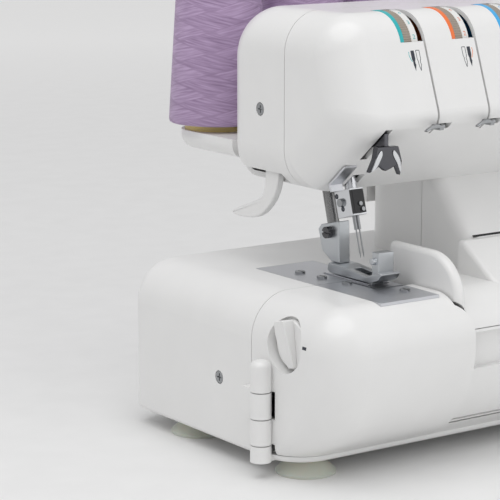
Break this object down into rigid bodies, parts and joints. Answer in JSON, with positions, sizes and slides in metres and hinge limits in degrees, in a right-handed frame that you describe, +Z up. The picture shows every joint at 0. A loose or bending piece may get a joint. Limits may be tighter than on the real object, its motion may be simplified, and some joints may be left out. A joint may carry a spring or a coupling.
{
  "type": "serger overlock machine",
  "caption": "Household overlock sewing machine with hinged front and looper covers, tension dials, sloped needle bar, lifting presser foot and thread cones on a rear stand.",
  "frame": {"origin": "centre of the bounding box in plan, at the surface the feet stand on", "axes": "+X to the handwheel end, +Y to the rear where the thread cones stand, +Z up"},
  "size_m": [0.3376, 0.2416, 0.43],
  "materials": {
    "shell": "glossy moulded",
    "feet": "pale soft",
    "steel": "ground",
    "bright": "polished",
    "dark": "satin",
    "frame": "die cast",
    "bronze": "sintered",
    "dial_teal": "satin",
    "dial_orange": "satin",
    "dial_blue": "satin",
    "dial_green": "satin",
    "motor": "black enamel",
    "belt": "matte",
    "pin": "satin",
    "core": "satin",
    "thread": "wound thread"
  },
  "bodies": {
    "machine": {"base_plate": "shell", "bed_casing": "shell", "side_panel": "shell", "looper_deck": "shell", "head_front_cover": "shell", "head_rear_cover": "shell", "column_front_cover": "shell", "column_rear_cover": "shell", "knife_guard": "shell", "spool_stand": "shell", "suction_feet": "feet", "needle_plate": "steel", "lower_knife": "steel", "tension_bracket": "steel", "hinge_pins": "steel", "pivot_pins": "steel", "needle_plate_screws": "bright", "casing_screws": "bright", "thread_hooks": "bright", "bar_thread_guide": "bright", "pole_tube": "bright", "power_inlet": "dark", "main_frame": "frame", "bushes": "bronze", "motor": "motor", "drive_belt": "belt", "spool_pins": "pin", "cone_cores": "core", "thread_windings": "thread"},
    "front_door": {"front_cover": "shell", "cloth_plate": "steel", "cloth_plate_screws": "bright"},
    "width_knob": {"width_knob": "shell"},
    "looper_door": {"looper_cover": "shell"},
    "needle_unit": {"needle_bar": "bright", "needle_clamp": "bright", "clamp_plate": "dark", "clamp_screws": "bright", "needles": "bright"},
    "presser_unit": {"presser_bar": "bright", "foot_ankle": "bright", "foot_screw": "bright", "presser_foot": "steel"},
    "lifter": {"lifter_lever": "shell"},
    "take_up": {"take_up": "dark"},
    "feed": {"feed_dog": "steel"},
    "upper_looper": {"upper_looper": "steel"},
    "lower_looper": {"lower_looper": "steel"},
    "upper_knife": {"upper_knife": "steel"},
    "dial_1": {"tension_dial_1": "dial_teal"},
    "dial_2": {"tension_dial_2": "dial_orange"},
    "dial_3": {"tension_dial_3": "dial_blue"},
    "dial_4": {"tension_dial_4": "dial_green"},
    "shaft_unit": {"main_shaft": "steel", "handwheel": "shell"},
    "motor_rotor": {"motor_pulley": "steel"},
    "guide_pole": {"thread_guide": "bright"},
    "stitch_dial": {"stitch_length_dial": "shell"},
    "feed_dial": {"differential_dial": "shell"},
    "switch": {"power_switch": "dark"}
  },
  "joints": [
    {"name": "front_cover_hinge", "type": "hinge", "parent": "machine", "child": "front_door", "pos_m": [-0.1628, -0.06145, 0.04], "axis": [0, 0, -1], "range_deg": [0, 100]},
    {"name": "cutting_width_turn", "type": "hinge", "parent": "front_door", "child": "width_knob", "pos_m": [-0.1542, -0.07625, 0.077], "axis": [1, 0, 0], "range_deg": [-90, 90]},
    {"name": "looper_cover_hinge", "type": "hinge", "parent": "machine", "child": "looper_door", "pos_m": [0.0308, -0.09685, 0.0255], "axis": [1, 0, 0], "range_deg": [0, 75]},
    {"name": "needle_bar_slide", "type": "slide", "parent": "machine", "child": "needle_unit", "axis": [0, 0.2756, 0.9613], "range_m": [-0.024, 0]},
    {"name": "lifter_turn", "type": "hinge", "parent": "machine", "child": "lifter", "pos_m": [-0.1087, 0.00315, 0.176], "axis": [1, 0, 0], "range_deg": [0, 28]},
    {"name": "presser_bar_slide", "type": "slide", "parent": "machine", "child": "presser_unit", "axis": [0, 0.2756, 0.9613], "range_m": [0, 0.005]},
    {"name": "take_up_turn", "type": "hinge", "parent": "machine", "child": "take_up", "pos_m": [-0.0907, -0.04285, 0.188], "axis": [1, 0, 0], "range_deg": [0, 12]},
    {"name": "feed_dog_slide", "type": "slide", "parent": "machine", "child": "feed", "axis": [0, 1, 0], "range_m": [-0.0015, 0.0015]},
    {"name": "upper_looper_turn", "type": "hinge", "parent": "machine", "child": "upper_looper", "pos_m": [-0.0482, -0.06235, 0.04], "axis": [0, 1, 0], "range_deg": [0, 12]},
    {"name": "lower_looper_turn", "type": "hinge", "parent": "machine", "child": "lower_looper", "pos_m": [-0.0622, -0.04485, 0.036], "axis": [0, 1, 0], "range_deg": [-12, 0]},
    {"name": "upper_knife_slide", "type": "slide", "parent": "machine", "child": "upper_knife", "axis": [0, 0, 1], "range_m": [-0.008, 0]},
    {"name": "tension_turn_1", "type": "hinge", "parent": "machine", "child": "dial_1", "pos_m": [-0.06725, -0.04715, 0.2304], "axis": [1, 0, 0], "range_deg": [-150, 150]},
    {"name": "tension_turn_2", "type": "hinge", "parent": "machine", "child": "dial_2", "pos_m": [-0.03025, -0.04715, 0.2304], "axis": [1, 0, 0], "range_deg": [-150, 150]},
    {"name": "tension_turn_3", "type": "hinge", "parent": "machine", "child": "dial_3", "pos_m": [0.00675, -0.04715, 0.2304], "axis": [1, 0, 0], "range_deg": [-150, 150]},
    {"name": "tension_turn_4", "type": "hinge", "parent": "machine", "child": "dial_4", "pos_m": [0.04375, -0.04715, 0.2304], "axis": [1, 0, 0], "range_deg": [-150, 150]},
    {"name": "handwheel_turn", "type": "hinge", "parent": "machine", "child": "shaft_unit", "pos_m": [0.0758, 0.00415, 0.06], "axis": [1, 0, 0], "continuous": true},
    {"name": "motor_turn", "type": "hinge", "parent": "machine", "child": "motor_rotor", "pos_m": [0.0758, 0.04315, 0.044], "axis": [1, 0, 0], "continuous": true},
    {"name": "guide_pole_slide", "type": "slide", "parent": "machine", "child": "guide_pole", "axis": [0, 0, 1], "range_m": [-0.09, 0]},
    {"name": "stitch_length_turn", "type": "hinge", "parent": "machine", "child": "stitch_dial", "pos_m": [0.1518, -0.05285, 0.078], "axis": [1, 0, 0], "range_deg": [-140, 140]},
    {"name": "differential_turn", "type": "hinge", "parent": "machine", "child": "feed_dial", "pos_m": [0.1518, -0.08685, 0.078], "axis": [1, 0, 0], "range_deg": [-60, 60]},
    {"name": "power_switch_rock", "type": "hinge", "parent": "machine", "child": "switch", "pos_m": [0.1458, 0.05015, 0.07], "axis": [0, 1, 0], "range_deg": [-8, 8]}
  ],
  "couplings": [
    {"joint": "lifter_turn", "follows": "presser_bar_slide", "rad_per_m": 97.738},
    {"joint": "take_up_turn", "follows": "needle_bar_slide", "rad_per_m": -8.72},
    {"joint": "feed_dog_slide", "follows": "needle_bar_slide", "ratio": 0.0624},
    {"joint": "upper_looper_turn", "follows": "needle_bar_slide", "rad_per_m": -8.72},
    {"joint": "lower_looper_turn", "follows": "needle_bar_slide", "rad_per_m": 8.72},
    {"joint": "upper_knife_slide", "follows": "needle_bar_slide", "ratio": 0.333},
    {"joint": "motor_turn", "follows": "handwheel_turn", "ratio": 2.8987}
  ]
}
